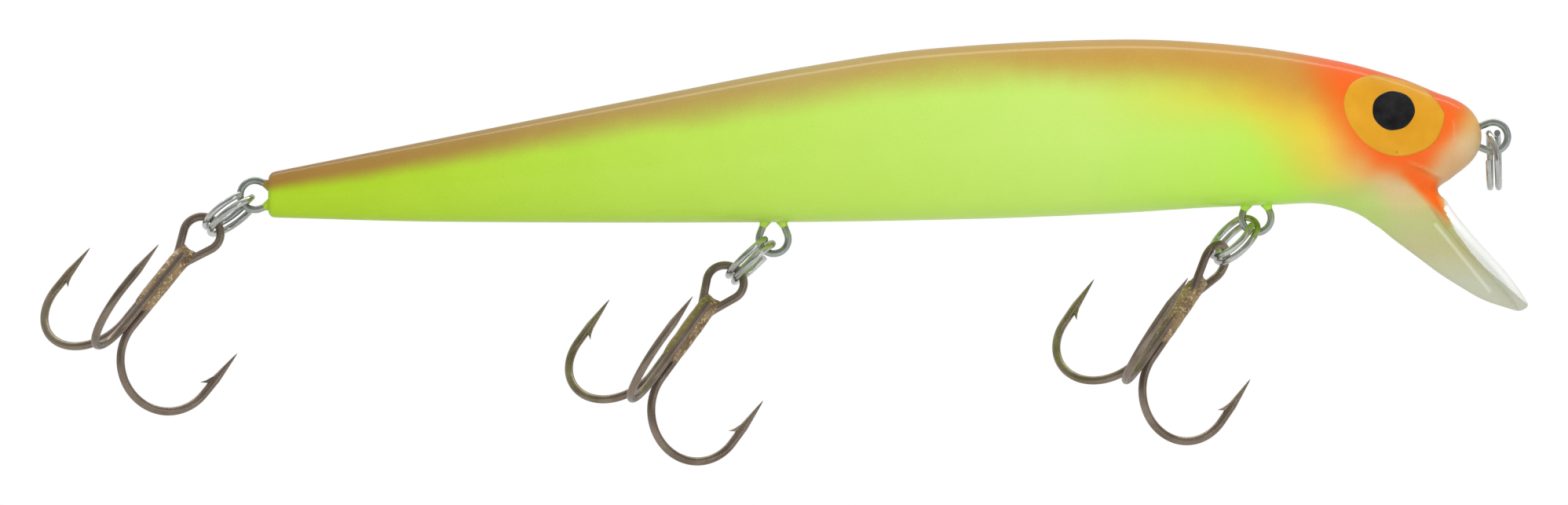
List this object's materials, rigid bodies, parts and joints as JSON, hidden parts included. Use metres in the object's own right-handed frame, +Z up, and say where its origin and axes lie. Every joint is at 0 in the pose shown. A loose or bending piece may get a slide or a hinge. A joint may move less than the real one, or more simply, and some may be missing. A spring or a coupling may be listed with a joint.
{
  "type": "crankbait lure",
  "caption": "Minnow-shaped floating crankbait with a moulded diving lip, a hollow painted body, wire hangers, split rings and swinging treble hooks.",
  "frame": {"origin": "centre of the line tie's wire loop at the nose", "axes": "+X out of the nose along the body, +Z up to the back, so -Y is the lure's right side"},
  "size_m": [0.1866, 0.0273, 0.0533],
  "materials": {
    "shell": "glossy clear coat over a brown, yellow-green and orange fade; pale lip",
    "hanger_wire": "bright drawn wire",
    "ring_wire": "bright nickel plate",
    "hook_wire": "dark bronze",
    "braze": "grainy",
    "keel_steel": "plain",
    "ball_steel": "polished"
  },
  "bodies": {
    "body": {"right_shell": "shell", "left_shell": "shell", "nose_eye": "hanger_wire", "front_belly_hanger": "hanger_wire", "middle_belly_hanger": "hanger_wire", "tail_hanger": "hanger_wire", "front_keel_weight": "keel_steel", "rear_keel_weight": "keel_steel"},
    "nose_ring": {"nose_split_ring": "ring_wire"},
    "front_ring": {"front_split_ring": "ring_wire"},
    "middle_ring": {"middle_split_ring": "ring_wire"},
    "tail_ring": {"tail_split_ring": "ring_wire"},
    "front_hook": {"front_double_hook": "hook_wire", "front_single_hook": "hook_wire", "front_hook_braze": "braze"},
    "middle_hook": {"middle_double_hook": "hook_wire", "middle_single_hook": "hook_wire", "middle_hook_braze": "braze"},
    "tail_hook": {"tail_double_hook": "hook_wire", "tail_single_hook": "hook_wire", "tail_hook_braze": "braze"},
    "front_rattle": {"front_rattle_ball": "ball_steel"},
    "rear_rattle": {"rear_rattle_ball": "ball_steel"}
  },
  "joints": [
    {"name": "nose_ring_swing", "type": "hinge", "parent": "body", "child": "nose_ring", "pos_m": [0, 0, 0], "axis": [0, 1, 0], "range_deg": [-140, 30]},
    {"name": "front_ring_swing", "type": "hinge", "parent": "body", "child": "front_ring", "pos_m": [-0.02965, 0, -0.01016], "axis": [0, 1, 0], "range_deg": [-68, 10]},
    {"name": "middle_ring_swing", "type": "hinge", "parent": "body", "child": "middle_ring", "pos_m": [-0.09015, 0, -0.0128], "axis": [0, 1, 0], "range_deg": [-94, 15]},
    {"name": "tail_ring_swing", "type": "hinge", "parent": "body", "child": "tail_ring", "pos_m": [-0.15515, 0, -0.0073], "axis": [0, 1, 0], "range_deg": [-50, 120]},
    {"name": "front_hook_swing", "type": "hinge", "parent": "front_ring", "child": "front_hook", "pos_m": [-0.03243, 0, -0.01284], "axis": [0.6528, 0.342, -0.676], "range_deg": [-75, 75]},
    {"name": "middle_hook_swing", "type": "hinge", "parent": "middle_ring", "child": "middle_hook", "pos_m": [-0.09297, 0, -0.01544], "axis": [0.6782, -0.1219, -0.7247], "range_deg": [-75, 75]},
    {"name": "tail_hook_swing", "type": "hinge", "parent": "tail_ring", "child": "tail_hook", "pos_m": [-0.15826, 0, -0.00959], "axis": [0.5732, -0.2588, -0.7775], "range_deg": [-75, 75]},
    {"name": "front_rattle_roll", "type": "slide", "parent": "body", "child": "front_rattle", "axis": [1, 0, 0], "range_m": [-0.0015, 0.0015]},
    {"name": "rear_rattle_roll", "type": "slide", "parent": "body", "child": "rear_rattle", "axis": [1, 0, 0], "range_m": [-0.0015, 0.0015]}
  ]
}
